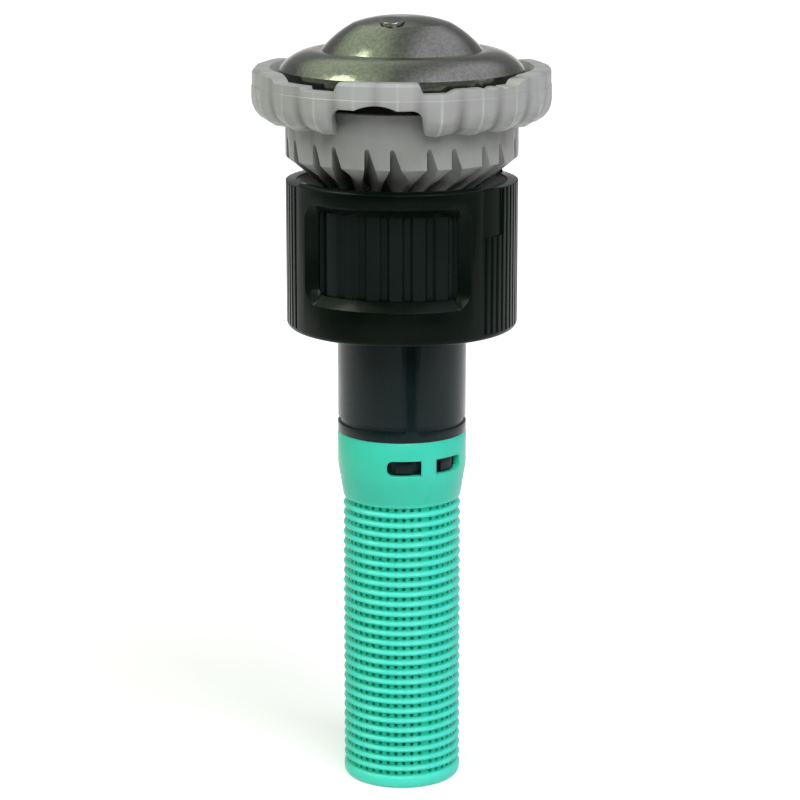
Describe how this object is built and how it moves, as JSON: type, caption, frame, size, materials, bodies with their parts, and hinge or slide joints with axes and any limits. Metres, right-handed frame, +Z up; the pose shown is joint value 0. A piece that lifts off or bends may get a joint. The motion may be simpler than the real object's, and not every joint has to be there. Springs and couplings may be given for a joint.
{
  "type": "rotary nozzle for a pop up sprinkler",
  "caption": "Rotary stream nozzle for a pop up sprinkler: spinning vaned deflector with grip ring and steel cap, windowed housing, threaded base and long filter.",
  "frame": {"origin": "on the spin axis at the lower face of the nozzle housing, where the riser thread opens", "axes": "+Z up along the spin axis towards the cap, one setting window faces -Y and the other +Y, +X to the right of the front window"},
  "size_m": [0.0294, 0.0292, 0.0776],
  "materials": {
    "black_plastic": "satin",
    "black_ring_plastic": "satin",
    "blue_black_plastic": "satin",
    "teal_plastic": "satin",
    "dark_grey_plastic": "matte",
    "light_grey_plastic": "satin",
    "white_plastic": "satin",
    "brake_plastic": "matte",
    "cap_steel": "satin",
    "plain_steel": "satin",
    "black_rubber": "matte"
  },
  "bodies": {
    "base": {"nozzle_base": "black_plastic", "housing_shell": "black_plastic", "inlet_tube": "blue_black_plastic", "filter_screen": "teal_plastic", "riser_gasket": "black_rubber", "nozzle_cover": "black_plastic", "flow_hub": "dark_grey_plastic", "thrust_washer": "white_plastic", "lower_ring_seal": "black_rubber", "upper_ring_seal": "black_rubber", "return_spring": "plain_steel"},
    "radius_ring_body": {"radius_ring": "black_ring_plastic"},
    "throttle": {"throttle_nut": "dark_grey_plastic"},
    "arc_sleeve": {"valve_sleeve": "dark_grey_plastic"},
    "shaft_group": {"shaft": "plain_steel", "shaft_nut": "plain_steel", "spring_washer": "plain_steel", "friction_plate": "brake_plastic", "shaft_clip": "plain_steel"},
    "rotor": {"deflector": "light_grey_plastic", "rotor_bushing": "white_plastic", "rotor_seal": "black_rubber", "seal_retainer": "plain_steel", "brake_disk": "plain_steel", "brake_pad": "brake_plastic", "grip_ring": "light_grey_plastic", "cap": "cap_steel", "cap_seal": "black_rubber"}
  },
  "joints": [
    {"name": "pull_to_flush", "type": "slide", "parent": "base", "child": "shaft_group", "axis": [0, 0, 1], "range_m": [-0.0005, 0.004], "stiffness_N_per_m": 400, "deforming": ["return_spring"]},
    {"name": "deflector_spin", "type": "hinge", "parent": "shaft_group", "child": "rotor", "pos_m": [0, 0, 0.0205], "axis": [0, 0, 1], "continuous": true},
    {"name": "radius_adjust", "type": "hinge", "parent": "base", "child": "radius_ring_body", "pos_m": [0, 0, 0.0075], "axis": [0, 0, 1], "range_deg": [0, 300]},
    {"name": "throttle_travel", "type": "slide", "parent": "radius_ring_body", "child": "throttle", "axis": [0, 0, 1], "range_m": [-0.0024, 0]},
    {"name": "arc_adjust", "type": "hinge", "parent": "base", "child": "arc_sleeve", "pos_m": [0, 0, 0.0115], "axis": [0, 0, 1], "range_deg": [0, 270]}
  ],
  "couplings": [
    {"joint": "radius_adjust", "follows": "throttle_travel", "rad_per_m": -2181.7}
  ]
}
